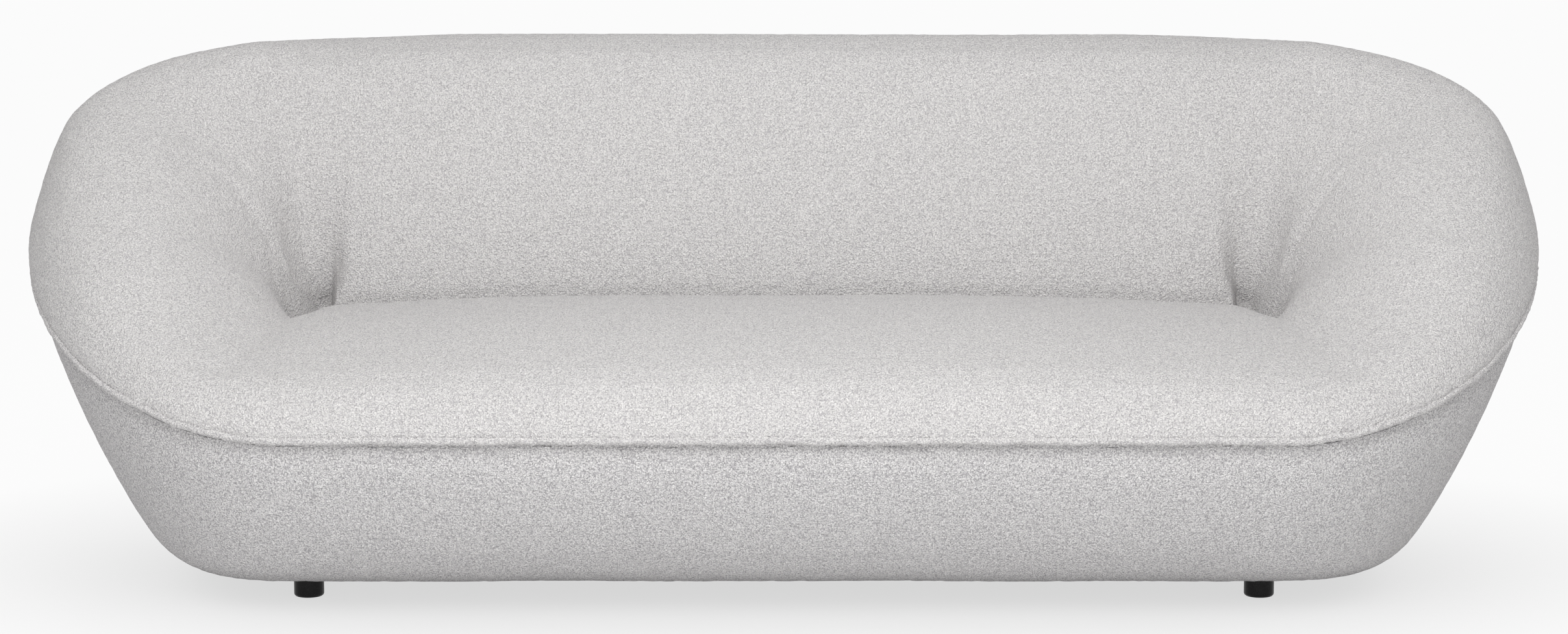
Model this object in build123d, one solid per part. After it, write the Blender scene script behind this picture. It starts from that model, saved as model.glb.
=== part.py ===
from build123d import *
import math
import os

# A long sofa: one padded ring of seat, arms and back on a flared tub, with a welt cord between them.
# Millimetres, +Z up, front towards -Y, left and right as seen from the front.
# The origin is on the floor, below the middle of the sofa.

# Overall sizes
OVERALL_LENGTH = 2300.0
OVERALL_DEPTH = 950.0
BACK_HEIGHT = 795.0
SEAT_HEIGHT = 417.0
SEAT_CROWN = 36.0
TUB_CLEARANCE = 34.0

# Pockets, where seat, arm and back meet, and the tuck line between them
POCKET_FROM_END = 440.0
POCKET_Y = 100.0
TUCK_RADIUS = 10.0
TUCK_BELOW_SEAT = 97.0

# Welt cord, on a rim that climbs from front to back
WELT_DIAMETER = 12.0
WELT_PROUD = 8.0
WELT_BELOW_SEAT = 147.0
WELT_BELOW_BACK = 167.0
WELT_BOW = 28.0
WELT_PLAN_POWER = 1.87

# Distance in plan from the welt to the crest of the ring
CREST_SETBACK_FRONT = 467.0
CREST_SETBACK_CORNER = 167.0
CREST_SETBACK_SIDE = 100.0
CREST_SETBACK_SHOULDER = 150.0
CREST_SETBACK_BACK = 104.0

# Form of the ring, by the angle round the pocket: 0 front, 90 outward, 180 back
FRONT = 0
SIDE = 90
BACK = 180
CREST_START_ANGLE = 8.0
CREST_FULL_ANGLE = 151.0
CREST_EASE = 0.66
INNER_FULLNESS = ((FRONT, 0.85), (40, 0.25), (SIDE, 0.5), (135, 0.3), (BACK, 0.75))
SEAT_CROWN_POWER = 4

# Form of the tub below the welt
TUB_SETBACK_FRONT = 205.0
TUB_SETBACK_SIDE = 260.0
TUB_SETBACK_BACK = 120.0
TUB_PLAN_POWER = 2.6
TUB_FULLNESS = ((FRONT, 0.7), (SIDE, 0.3), (BACK, 0.5))

# Layers
COVER_THICKNESS = 3.0
FOAM_THICKNESS = 50.0
PADDING_THICKNESS = 14.0
COVER_TURN_UNDER = 30.0
DUST_COVER_THICKNESS = 1.0
DUST_COVER_MARGIN = 12.0

# Frame
PLYWOOD = 18.0
BASE_BOARD_WIDTH = 90.0
BASE_RAIL_WIDTH = 40.0
BASE_RAIL_HEIGHT = 50.0
BASE_RAIL_LAP = 60.0
RIM_BOARD_WIDTH = 80.0
POST_DIAMETER = 80.0
SPRING_RAIL_WIDTH = 45.0
SPRING_RAIL_HEIGHT = 60.0
BLOCKING_HEIGHT = 45.0
BLOCKING_WIDTH = 44.0
RIB_STATIONS = (-0.8, -0.27, 0.27, 0.8)
END_RIB_ANGLES = (45.0, 90.0, 135.0)

# Seat springs and back webbing
SPRING_COUNT = 9
SPRING_WIRE = 4.0
SPRING_WIDTH = 52.0
SPRING_PITCH = 20.0
CLIP_SHEET = 1.5
CLIP_LENGTH = 24.0
WEBBING_COUNT = 10
WEBBING_WIDTH = 60.0
WEBBING_THICKNESS = 2.4

# Feet
FOOT_DIAMETER = 44.0
FOOT_EDGE = 5.0
FOOT_INSIDE_POCKET = 14.0
FOOT_SETBACK = 45.0
SCREW_DIAMETER = 6.0
SCREW_HEAD_DIAMETER = 12.0
SCREW_HEAD_HEIGHT = 4.0
SCREW_RECESS = 9.0
SCREW_TIP_COVER = 3.0
HOLE_PLAY = 0.3
NOTCH_PLAY = 4.0

# Clearances
GAP = 0.3
LAYER_GAP = 0.7
FOAM_SEAT_GAP = 0.9
RIB_GAP = 4.0
TUB_RIB_GAP = 6.0
END_RIB_GAP = 11.0
BASE_EDGE_GAP = 2.0

# Sections of the rounded ends
FAN_STEP = 15
FAN_ANGLES = tuple(range(FRONT, BACK + 1, FAN_STEP))
SHEET_ANGLES = tuple(range(FRONT, BACK + 1, FAN_STEP // 3))
CROWN_STATIONS = (-1.0, -0.9, -0.75, -0.45, 0.0, 0.45, 0.75, 0.9, 1.0)

# Values that follow from the sizes above
POCKET_X = OVERALL_LENGTH / 2 - POCKET_FROM_END
POCKET_CREST = SEAT_HEIGHT - SEAT_CROWN
TUCK_HEIGHT = SEAT_HEIGHT - TUCK_BELOW_SEAT
WELT_HEIGHT_FRONT = SEAT_HEIGHT - WELT_BELOW_SEAT
WELT_HEIGHT_BACK = BACK_HEIGHT - WELT_BELOW_BACK
WELT_FRONT = OVERALL_DEPTH / 2 + POCKET_Y - WELT_PROUD
WELT_BACK = OVERALL_DEPTH / 2 - POCKET_Y - WELT_PROUD
WELT_SIDE = POCKET_FROM_END - WELT_PROUD
WELT_RADIUS = WELT_DIAMETER / 2
WELT_CENTRE = WELT_PROUD - WELT_RADIUS
RIM_SLOPE = (WELT_HEIGHT_BACK - WELT_HEIGHT_FRONT) / (WELT_FRONT + WELT_BACK)
CREST_SETBACK = (
    (FRONT, CREST_SETBACK_FRONT),
    (45, CREST_SETBACK_CORNER),
    (SIDE, CREST_SETBACK_SIDE),
    (135, CREST_SETBACK_SHOULDER),
    (BACK, CREST_SETBACK_BACK),
)
SEAM = WELT_RADIUS + GAP
FOAM_SEAT = WELT_RADIUS + FOAM_SEAT_GAP
RIM_EDGE = WELT_RADIUS - WELT_CENTRE + GAP
FOAM_TOP = COVER_THICKNESS + LAYER_GAP
FOAM_BOTTOM = FOAM_TOP + FOAM_THICKNESS
RIB_DEPTH = FOAM_BOTTOM + RIB_GAP
END_RIB_DEPTH = FOAM_BOTTOM + END_RIB_GAP
PADDING_TOP = COVER_THICKNESS + LAYER_GAP
PADDING_BOTTOM = PADDING_TOP + PADDING_THICKNESS
TUB_RIB_DEPTH = PADDING_BOTTOM + TUB_RIB_GAP
BASE_BOTTOM = TUB_CLEARANCE + COVER_THICKNESS + GAP
BASE_TOP = BASE_BOTTOM + PLYWOOD
BASE_RAIL_TOP = BASE_TOP + BASE_RAIL_HEIGHT
DECK_HEIGHT = TUCK_HEIGHT - PLYWOOD
SPRING_RAIL_TOP = DECK_HEIGHT - CLIP_SHEET - SPRING_WIRE - 2 * GAP
SPRING_RAIL_BOTTOM = SPRING_RAIL_TOP - SPRING_RAIL_HEIGHT
POST_RADIUS = POST_DIAMETER / 2
RAIL_END = POCKET_X - POST_RADIUS - GAP
FOOT_X = POCKET_X - FOOT_INSIDE_POCKET
FOOT_TOP = TUB_CLEARANCE - DUST_COVER_THICKNESS - GAP


def between(angle, keys):
    """Value at an angle, eased through pairs of angle and value."""
    for (low, first), (high, last) in zip(keys, keys[1:]):
        if angle <= high:
            share = (angle - low) / (high - low)
            return first + (last - first) * (1 - math.cos(math.pi * share)) / 2
    return keys[-1][1]


def plan_radius(angle, front, side, back, power):
    """Distance from the pocket to a rounded end in plan."""
    turn = math.radians(angle)
    depth = front if angle <= SIDE else back
    return (abs(math.sin(turn) / side) ** power + abs(math.cos(turn) / depth) ** power) ** (-1 / power)


def welt_radius(angle):
    return plan_radius(angle, WELT_FRONT, WELT_SIDE, WELT_BACK, WELT_PLAN_POWER)


def tub_radius(angle):
    """Edge of the flat underside of the tub."""
    front = WELT_FRONT - TUB_SETBACK_FRONT
    side = WELT_SIDE - TUB_SETBACK_SIDE
    back = WELT_BACK - TUB_SETBACK_BACK
    return plan_radius(angle, front, side, back, TUB_PLAN_POWER)


def rim_height(angle, radius):
    """Height of the tilted rim that carries the welt, bowed up a little at the ends."""
    turn = math.radians(angle)
    climb = RIM_SLOPE * (WELT_FRONT - radius * math.cos(turn))
    return WELT_HEIGHT_FRONT + climb + WELT_BOW * math.sin(turn)


def crest(angle):
    """Highest point of the ring's section, low along the seat and high along the back."""
    reach = (angle - CREST_START_ANGLE) / (CREST_FULL_ANGLE - CREST_START_ANGLE)
    share = min(max(reach, 0.0), 1.0) ** CREST_EASE
    climb = share * share * (3 - 2 * share)
    height = POCKET_CREST + (BACK_HEIGHT - POCKET_CREST) * climb
    return welt_radius(angle) - between(angle, CREST_SETBACK), height


def two_arcs(start, end, fullness):
    """Points of two tangent arcs that leave start level and bend on to end."""
    across = end[0] - start[0]
    rise = end[1] - start[1]
    a = abs(across)
    b = abs(rise)
    chord = math.atan2(b, a)
    turn = chord + fullness * (math.pi / 2 - chord)
    s1, c1, s2, c2 = math.sin(chord), math.cos(chord), math.sin(turn), math.cos(turn)
    det = s1 * (c1 - c2) - (s2 - s1) * (1 - c1)
    first = (a * (c1 - c2) - b * (s2 - s1)) / det
    second = (b * s1 - a * (1 - c1)) / det

    def point(heading):
        u = first * math.sin(min(heading, chord))
        v = first * (1 - math.cos(min(heading, chord)))
        if heading > chord:
            u += second * (math.sin(heading) - s1)
            v += second * (c1 - math.cos(heading))
        return start[0] + math.copysign(u, across), start[1] + math.copysign(v, rise)

    return [point(heading) for heading in (0, chord / 2, chord, (chord + turn) / 2, turn)]


def arch(angle, depth, lift=0.0, room=SEAM):
    """Section of the ring at a depth below its cover, from the welt over the crest to the tuck line."""
    welt = welt_radius(angle) - depth
    foot = (welt, rim_height(angle, welt) + room)
    radius, height = crest(angle)
    top = (radius, height + lift - depth)
    tuck = (TUCK_RADIUS + depth, TUCK_HEIGHT)
    outside = two_arcs(top, foot, 1.0)[::-1]
    inside = two_arcs(top, tuck, between(angle, INNER_FULLNESS))
    return outside + inside[1:]


def bowl(angle, depth):
    """Section of the tub at a depth inside its cover, from the underside up to the welt."""
    welt = welt_radius(angle) - depth
    bottom = (tub_radius(angle), TUB_CLEARANCE + depth)
    top = (welt, rim_height(angle, welt) - SEAM)
    return two_arcs(bottom, top, between(angle, TUB_FULLNESS))


def arcs(points):
    return [ThreePointArc(*points[i:i + 3]) for i in range(0, len(points) - 2, 2)]


def lines(*points):
    return [Line(first, last) for first, last in zip(points, points[1:])]


def layer(upper, lower):
    """Face between two chains of arcs."""
    ends = lines(upper[-1], lower[-1]) + lines(lower[0], upper[0])
    return make_face(arcs(upper) + arcs(lower) + ends)


def section_plane(angle, x=POCKET_X):
    """Upright plane through a pocket, or at x along the straight front or back."""
    turn = math.radians(angle)
    outward = (math.sin(turn), -math.cos(turn), 0)
    normal = (-math.cos(turn), -math.sin(turn), 0)
    return Plane(origin=(x, POCKET_Y, 0), x_dir=outward, z_dir=normal)


def rounded_end(section):
    """Solid that sweeps a section round the right end."""
    return loft([section_plane(angle) * section(angle) for angle in FAN_ANGLES])


def straight_run(section, angle):
    """Solid that carries a section along the front or the back."""
    start = POCKET_X if angle == FRONT else -POCKET_X
    return extrude(section_plane(angle, start) * section(angle), amount=2 * POCKET_X)


def crowned_run(section):
    """Solid that carries a section along the seat, raised towards the middle."""
    sections = []
    for share in CROWN_STATIONS:
        lift = SEAT_CROWN * (1 - share ** SEAT_CROWN_POWER)
        sections.append(section_plane(FRONT, share * POCKET_X) * section(FRONT, lift))
    return loft(sections)


def left_of(shape):
    return mirror(shape, about=Plane.YZ)


def box_between(low, high):
    """Box from its lowest to its highest corner."""
    size = [b - a for a, b in zip(low, high)]
    return Pos(*low) * Box(*size, align=(Align.MIN, Align.MIN, Align.MIN))


def upper_cover_section(angle, lift=0.0):
    return layer(arch(angle, 0, lift), arch(angle, COVER_THICKNESS, lift))


def ring_foam_section(angle):
    return layer(arch(angle, FOAM_TOP, room=FOAM_SEAT), arch(angle, FOAM_BOTTOM, room=FOAM_SEAT))


def rim_board_section(angle):
    outer = welt_radius(angle) - RIM_EDGE
    inner = outer - RIM_BOARD_WIDTH
    up = rim_height(angle, outer)
    down = rim_height(angle, inner)
    corners = (
        (outer, up - WELT_RADIUS),
        (outer, up + WELT_RADIUS),
        (inner, down + WELT_RADIUS),
        (inner, down - WELT_RADIUS),
    )
    return make_face(lines(*corners, corners[0]))


def rim_board_inner(angle):
    return welt_radius(angle) - RIM_EDGE - RIM_BOARD_WIDTH


def seat_foam_section(angle, lift=0.0):
    """Seat block with a rolled front that stands on the rim board."""
    top = arch(angle, FOAM_TOP, lift)
    step = rim_board_inner(angle) - GAP
    bottom = lines(
        top[-1],
        (top[-1][0], DECK_HEIGHT + GAP),
        (step, DECK_HEIGHT + GAP),
        (step, rim_height(angle, step) + SEAM),
        top[0],
    )
    return make_face(arcs(top) + bottom)


def tub_cover_section(angle):
    outer = bowl(angle, 0)
    inner = bowl(angle, COVER_THICKNESS)
    edge = tub_radius(angle) - COVER_TURN_UNDER
    under = lines(inner[0], (edge, inner[0][1]), (edge, outer[0][1]), outer[0])
    return make_face(arcs(outer) + arcs(inner) + lines(outer[-1], inner[-1]) + under)


def tub_padding_section(angle):
    return layer(bowl(angle, PADDING_TOP), bowl(angle, PADDING_BOTTOM))


def welt_section(angle):
    """Round cord, as four quarter arcs."""
    radius = welt_radius(angle)
    x = radius + WELT_CENTRE
    y = rim_height(angle, radius)
    turns = [math.pi / 4 * i for i in range(9)]
    return make_face(arcs([(x + WELT_RADIUS * math.cos(t), y + WELT_RADIUS * math.sin(t)) for t in turns]))


def base_board_section(angle):
    outer = tub_radius(angle) - BASE_EDGE_GAP
    inner = outer - BASE_BOARD_WIDTH
    corners = ((outer, BASE_BOTTOM), (outer, BASE_TOP), (inner, BASE_TOP), (inner, BASE_BOTTOM))
    return make_face(lines(*corners, corners[0]))


def rib_front_edge(angle):
    """Lower outer edge of a rib, from the base board up to the underside of the rim board."""
    depth = TUB_RIB_DEPTH
    welt = welt_radius(angle) - depth
    foot = (tub_radius(angle) - BASE_EDGE_GAP, BASE_TOP)
    start = (foot[0], max(TUB_CLEARANCE + depth, BASE_TOP + GAP))
    top = (welt, rim_height(angle, welt) - notch_room(angle))
    return foot, lines(foot, start) + arcs(two_arcs(start, top, between(angle, TUB_FULLNESS))), top


def notch_room(angle):
    """Room above and below the rim board, which climbs across the thickness of a rib."""
    return SEAM + RIM_SLOPE * PLYWOOD * math.sin(math.radians(angle))


def rim_notch(angle):
    """Inner corners of the cut that lets the rim board into a rib."""
    inner = rim_board_inner(angle) - GAP - NOTCH_PLAY * math.sin(math.radians(angle))
    middle = rim_height(angle, inner)
    room = notch_room(angle)
    return (inner, middle - room), (inner, middle + room)


def plate(angle, x, edges):
    """Plywood plate standing in a section plane."""
    return extrude(section_plane(angle, x) * make_face(edges), amount=PLYWOOD / 2, both=True)


def front_rib(x):
    """Short rib under the seat front, cut out for the front spring rail."""
    foot, edge, under_rim = rib_front_edge(FRONT)
    notch = rim_notch(FRONT)[0]
    rest = lines(
        under_rim,
        notch,
        (notch[0], SPRING_RAIL_BOTTOM),
        (notch[0] - SPRING_RAIL_WIDTH, SPRING_RAIL_BOTTOM),
        (foot[0] - BASE_BOARD_WIDTH, BASE_TOP),
        foot,
    )
    return plate(FRONT, x, edge + rest)


def tall_rib(angle, x, depth, inner_edge):
    """Rib that runs up inside the foam of an arm or the back, closed by its inner edge."""
    foot, edge, under_rim = rib_front_edge(angle)
    top = arch(angle, depth, room=notch_room(angle))
    rest = lines(under_rim, *rim_notch(angle), top[0]) + lines(top[-1], *inner_edge(top[-1][0]), foot)
    return plate(angle, x, edge + arcs(top) + rest)


def back_rib(x):
    return tall_rib(BACK, x, RIB_DEPTH, lambda radius: ((radius, BASE_TOP),))


def end_rib(angle):
    """Rib of a rounded end, let in round the pocket plate and over the end rail to the post."""
    post = POST_RADIUS + GAP
    board = tub_radius(angle) - BASE_BOARD_WIDTH

    def inner_edge(radius):
        return (
            (radius, DECK_HEIGHT - GAP),
            (post, DECK_HEIGHT - GAP),
            (post, BASE_RAIL_TOP + GAP),
            (board, BASE_RAIL_TOP + GAP),
            (board, BASE_TOP),
        )

    return tall_rib(angle, POCKET_X, END_RIB_DEPTH, inner_edge)


def base_rail(x):
    """Rail lapped over the front and back base boards."""
    front = POCKET_Y - (tub_radius(FRONT) - BASE_BOARD_WIDTH) - BASE_RAIL_LAP
    back = POCKET_Y + (tub_radius(BACK) - BASE_BOARD_WIDTH) + BASE_RAIL_LAP
    half = BASE_RAIL_WIDTH / 2
    return box_between((x - half, front, BASE_TOP), (x + half, back, BASE_RAIL_TOP))


def post():
    height = DECK_HEIGHT - GAP - BASE_RAIL_TOP
    body = Cylinder(POST_RADIUS, height, align=(Align.CENTER, Align.CENTER, Align.MIN))
    return Pos(POCKET_X, POCKET_Y, BASE_RAIL_TOP) * body


def pocket_plate():
    """Half disc that carries the foot of the arm foam round the pocket."""
    radius = TUCK_RADIUS + RIB_DEPTH - GAP
    disc = extrude(Circle(radius), amount=PLYWOOD - GAP)
    outer_half = box_between((0, -radius, 0), (radius, radius, PLYWOOD))
    return Pos(POCKET_X, POCKET_Y, DECK_HEIGHT - GAP) * (disc & outer_half)


def front_spring_rail_front():
    return POCKET_Y - rim_board_inner(FRONT) + 2 * GAP


def rear_spring_rail_back():
    return POCKET_Y + TUCK_RADIUS - GAP


def front_spring_rail():
    front = front_spring_rail_front()
    low = (-RAIL_END, front, SPRING_RAIL_BOTTOM + GAP)
    high = (RAIL_END, front + SPRING_RAIL_WIDTH - GAP, SPRING_RAIL_TOP)
    return box_between(low, high)


def rear_spring_rail():
    back = rear_spring_rail_back()
    low = (-RAIL_END, back - SPRING_RAIL_WIDTH, SPRING_RAIL_BOTTOM)
    return box_between(low, (RAIL_END, back, SPRING_RAIL_TOP))


def tuck_rail():
    """Rail behind the seat, under the foot of the back foam."""
    front = POCKET_Y + TUCK_RADIUS
    low = (-RAIL_END, front, SPRING_RAIL_BOTTOM)
    return box_between(low, (RAIL_END, front + RIB_DEPTH - GAP, TUCK_HEIGHT - GAP))


def back_blocking():
    """Blocks between the back ribs, under the crest of the back."""
    radius, height = crest(BACK)
    y = POCKET_Y + radius
    top = height - RIB_DEPTH - BLOCKING_WIDTH / 2
    edges = [station * POCKET_X for station in RIB_STATIONS]
    starts = [-POCKET_X] + [x + PLYWOOD / 2 + GAP for x in edges]
    ends = [x - PLYWOOD / 2 - GAP for x in edges] + [POCKET_X]
    blocks = []
    for start, end in zip(starts, ends):
        low = (start, y - BLOCKING_WIDTH / 2, top - BLOCKING_HEIGHT)
        blocks.append(box_between(low, (end, y + BLOCKING_WIDTH / 2, top)))
    return Compound(children=blocks)


def spring_lines():
    """Y of the front and the rear end run of a seat spring."""
    front = front_spring_rail_front() + SPRING_RAIL_WIDTH / 2
    rear = rear_spring_rail_back() - SPRING_RAIL_WIDTH / 2
    return front, rear


def spring_positions():
    pitch = 2 * RAIL_END / SPRING_COUNT
    return [pitch * (i + 0.5) - RAIL_END for i in range(SPRING_COUNT)]


def seat_spring():
    """Flat zigzag of wire with half-round bends, from one spring rail to the other."""
    front, rear = spring_lines()
    runs = 2 * round((rear - front) / SPRING_PITCH / 2)
    pitch = (rear - front) / runs
    half = SPRING_WIDTH / 2 - pitch / 2
    path = []
    side = 1
    for i in range(runs + 1):
        y = front + i * pitch
        path += lines((-side * half, y), (side * half, y))
        if i < runs:
            bend = (side * (half + pitch / 2), y + pitch / 2)
            path.append(ThreePointArc((side * half, y), bend, (side * half, y + pitch)))
        side = -side
    start = Plane(origin=(-half, front, 0), z_dir=(1, 0, 0))
    return sweep(start * Circle(SPRING_WIRE / 2), path=Wire(path))


def seat_springs():
    height = SPRING_RAIL_TOP + GAP + SPRING_WIRE / 2
    spring = seat_spring()
    return Compound(children=[Pos(x, 0, height) * spring for x in spring_positions()])


def spring_clips():
    """Bridges that hold the end runs of the springs down on the rails."""
    inside = SPRING_WIRE + 2 * GAP
    bridge = Rectangle(inside + 2 * CLIP_SHEET, inside + CLIP_SHEET, align=(Align.CENTER, Align.MIN))
    bridge -= Rectangle(inside, inside, align=(Align.CENTER, Align.MIN))
    clip = extrude(Plane.YZ * bridge, amount=CLIP_LENGTH / 2, both=True)
    places = [(x, y) for x in spring_positions() for y in spring_lines()]
    return Compound(children=[Pos(x, y, SPRING_RAIL_TOP) * clip for x, y in places])


def back_webbing():
    """Upright straps on the front of the back ribs, behind the foam."""
    upper = arch(BACK, FOAM_BOTTOM + GAP)[6:]
    lower = arch(BACK, FOAM_BOTTOM + GAP + WEBBING_THICKNESS)[6:]
    pitch = 2 * RAIL_END / WEBBING_COUNT
    strap = extrude(section_plane(BACK, 0) * layer(upper, lower), amount=WEBBING_WIDTH / 2, both=True)
    places = [pitch * (i + 0.5) - RAIL_END for i in range(WEBBING_COUNT)]
    return Compound(children=[Pos(x, 0, 0) * strap for x in places])


def dust_cover():
    """Thin sheet under the base, over the turned-in edge of the tub cover."""
    rim = [tub_radius(angle) - DUST_COVER_MARGIN for angle in SHEET_ANGLES]
    turns = [math.radians(angle) for angle in SHEET_ANGLES]
    right = [(POCKET_X + r * math.sin(t), POCKET_Y - r * math.cos(t)) for r, t in zip(rim, turns)]
    left = [(-x, y) for x, y in right]
    along = (1, 0)
    outline = [
        Spline(*right, tangents=(along, (-1, 0))),
        Line(right[-1], left[-1]),
        Spline(*left[::-1], tangents=((-1, 0), along)),
        Line(left[0], right[0]),
    ]
    sheet = extrude(make_face(outline), amount=DUST_COVER_THICKNESS)
    sheet = Pos(0, 0, TUB_CLEARANCE - DUST_COVER_THICKNESS - GAP / 2) * sheet
    return sheet - screw_holes()


def foot_places():
    """Centres of the feet, as node name and place."""
    front = POCKET_Y - tub_radius(FRONT) + FOOT_SETBACK
    back = POCKET_Y + tub_radius(BACK) - FOOT_SETBACK
    places = {}
    for row, y in (("front", front), ("back", back)):
        places[f"foot_{row}_left"] = (-FOOT_X, y)
        places[f"foot_{row}_right"] = (FOOT_X, y)
    return places


def foot():
    """Short round foot with a rounded lower edge and a recess for its screw."""
    body = Cylinder(FOOT_DIAMETER / 2, FOOT_TOP, align=(Align.CENTER, Align.CENTER, Align.MIN))
    body = fillet(body.edges().group_by(Axis.Z)[0], FOOT_EDGE)
    hole = Cylinder(SCREW_DIAMETER / 2 + HOLE_PLAY, 2 * FOOT_TOP)
    recess = Cylinder(SCREW_HEAD_DIAMETER / 2 + 2 * HOLE_PLAY, 2 * SCREW_RECESS)
    return body - hole - recess


def foot_screw():
    """Pan-head screw from the recess of the foot into the base board."""
    head = extrude(Circle(SCREW_HEAD_DIAMETER / 2), amount=-SCREW_HEAD_HEIGHT)
    shank = extrude(Circle(SCREW_DIAMETER / 2), amount=BASE_TOP - SCREW_TIP_COVER - SCREW_RECESS)
    return Pos(0, 0, SCREW_RECESS) * (head + shank)


def screw_holes():
    """Clearance for the foot screws through the sheet and the base boards."""
    top = BASE_TOP - SCREW_TIP_COVER + GAP
    hole = extrude(Circle(SCREW_DIAMETER / 2 + HOLE_PLAY), amount=top)
    return [Pos(x, y, 0) * hole for x, y in foot_places().values()]


def welt_cord():
    """One closed cord round the sofa."""
    right = rounded_end(welt_section)
    runs = [straight_run(welt_section, FRONT), right, straight_run(welt_section, BACK), left_of(right)]
    return runs[0] + runs[1:]


def add_pair(nodes, name, right):
    """Add a piece of the right end and its mirror image."""
    nodes[f"{name}_right"] = right
    nodes[f"{name}_left"] = left_of(right)


def add_round(nodes, name, section):
    """Add the four parts of a layer that goes right round the sofa."""
    nodes[f"{name}_front"] = straight_run(section, FRONT)
    nodes[f"{name}_back"] = straight_run(section, BACK)
    add_pair(nodes, name, rounded_end(section))


def upholstery(nodes):
    nodes["seat_cover"] = crowned_run(upper_cover_section)
    nodes["back_cover"] = straight_run(upper_cover_section, BACK)
    add_pair(nodes, "arm_cover", rounded_end(upper_cover_section))
    nodes["seat_foam"] = crowned_run(seat_foam_section)
    nodes["back_foam"] = straight_run(ring_foam_section, BACK)
    add_pair(nodes, "arm_foam", rounded_end(ring_foam_section))
    add_round(nodes, "tub_cover", tub_cover_section)
    add_round(nodes, "tub_padding", tub_padding_section)
    nodes["welt_cord"] = welt_cord()
    nodes["dust_cover"] = dust_cover()


def frame(nodes):
    add_round(nodes, "rim_board", rim_board_section)
    add_round(nodes, "base_board", base_board_section)
    for side in ("front", "back", "right", "left"):
        nodes[f"base_board_{side}"] -= screw_holes()
    for name, x in (("left", -POCKET_X), ("middle", 0.0), ("right", POCKET_X)):
        nodes[f"base_rail_{name}"] = base_rail(x)
    for number, station in enumerate(RIB_STATIONS, 1):
        nodes[f"front_rib_{number}"] = front_rib(station * POCKET_X)
        nodes[f"back_rib_{number}"] = back_rib(station * POCKET_X)
    for number, angle in enumerate(END_RIB_ANGLES, 1):
        add_pair(nodes, f"end_rib_{number}", end_rib(angle))
    add_pair(nodes, "end_post", post())
    add_pair(nodes, "pocket_plate", pocket_plate())
    nodes["front_spring_rail"] = front_spring_rail()
    nodes["rear_spring_rail"] = rear_spring_rail()
    nodes["tuck_rail"] = tuck_rail()
    nodes["back_blocking"] = back_blocking()


def suspension(nodes):
    nodes["seat_springs"] = seat_springs()
    nodes["spring_clips"] = spring_clips()
    nodes["back_webbing"] = back_webbing()


def feet(nodes):
    places = foot_places()
    for name, (x, y) in places.items():
        nodes[name] = Pos(x, y, 0) * foot()
    screws = [Pos(x, y, 0) * foot_screw() for x, y in places.values()]
    nodes["foot_screws"] = Compound(children=screws)


def main():
    nodes = {}
    upholstery(nodes)
    frame(nodes)
    suspension(nodes)
    feet(nodes)
    os.makedirs("parts", exist_ok=True)
    for name, shape in nodes.items():
        export_step(shape, f"parts/{name}.step")


main()
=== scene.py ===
import math

import bpy
import numpy as np
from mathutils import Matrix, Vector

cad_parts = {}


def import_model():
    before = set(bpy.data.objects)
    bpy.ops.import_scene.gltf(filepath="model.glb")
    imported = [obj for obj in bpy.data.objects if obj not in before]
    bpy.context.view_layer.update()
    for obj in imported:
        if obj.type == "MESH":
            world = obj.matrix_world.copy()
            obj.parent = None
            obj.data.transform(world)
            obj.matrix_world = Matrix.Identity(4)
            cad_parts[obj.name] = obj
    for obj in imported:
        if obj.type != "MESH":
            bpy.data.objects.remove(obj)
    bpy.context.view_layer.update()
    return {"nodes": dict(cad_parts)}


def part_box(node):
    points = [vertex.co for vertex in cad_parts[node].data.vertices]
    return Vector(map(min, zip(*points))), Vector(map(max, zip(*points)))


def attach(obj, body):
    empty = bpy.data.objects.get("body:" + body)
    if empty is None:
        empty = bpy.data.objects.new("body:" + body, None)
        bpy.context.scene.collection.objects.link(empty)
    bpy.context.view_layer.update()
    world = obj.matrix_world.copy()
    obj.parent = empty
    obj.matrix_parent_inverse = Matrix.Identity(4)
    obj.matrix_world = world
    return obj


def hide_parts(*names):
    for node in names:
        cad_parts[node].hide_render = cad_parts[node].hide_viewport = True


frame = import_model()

nodes = frame["nodes"]

# The sofa is a padded ring on a tub. On the straight runs its sections stand across it at x. Each
# rounded end is a fan of sections about its pocket: 0 degrees front, 90 outwards, 180 back.

# Sizes in metres, from the frame
SEAT_LOW, SEAT_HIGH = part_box("seat_cover")
BACK_LOW, BACK_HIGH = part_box("back_cover")
POCKET_X = BACK_HIGH.x
POCKET_Y = (SEAT_HIGH.y + BACK_LOW.y) / 2
SEAT_HEIGHT = SEAT_HIGH.z
BACK_HEIGHT = BACK_HIGH.z
TUCK_HEIGHT = BACK_LOW.z
WELT_FRONT = POCKET_Y - SEAT_LOW.y
WELT_BACK = BACK_HIGH.y - POCKET_Y
TUB_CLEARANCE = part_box("tub_cover_front")[0].z

# Sizes in metres that the frame's boxes don't give
SEAT_CROWN = 0.036
SEAT_FALLS = (0.20, 1.20)    # the seat falls between these distances from its middle
SEAT_TURN = 0.60             # distance that counts for a radian round an end
WELT_SIDE = 0.432
WELT_RADIUS = 0.006
WELT_CENTRE = 0.002
WELT_HEIGHT_FRONT = 0.270
WELT_HEIGHT_BACK = 0.628
WELT_BOW = 0.028
WELT_PLAN_POWER = 1.87
CREST_SETBACK = ((0, 0.467), (45, 0.167), (90, 0.100), (135, 0.150), (180, 0.104))
CREST_START_ANGLE = 8.0
CREST_FULL_ANGLE = 151.0
CREST_EASE = 0.66
INNER_FULLNESS = ((0, 0.85), (40, 0.25), (90, 0.5), (135, 0.3), (180, 0.75))
TUCK_RADIUS = 0.010
TUB_SETBACK = (0.205, 0.260, 0.120)
TUB_PLAN_POWER = 2.6
TUB_FULLNESS = ((0, 0.7), (90, 0.3), (180, 0.5))
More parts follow.
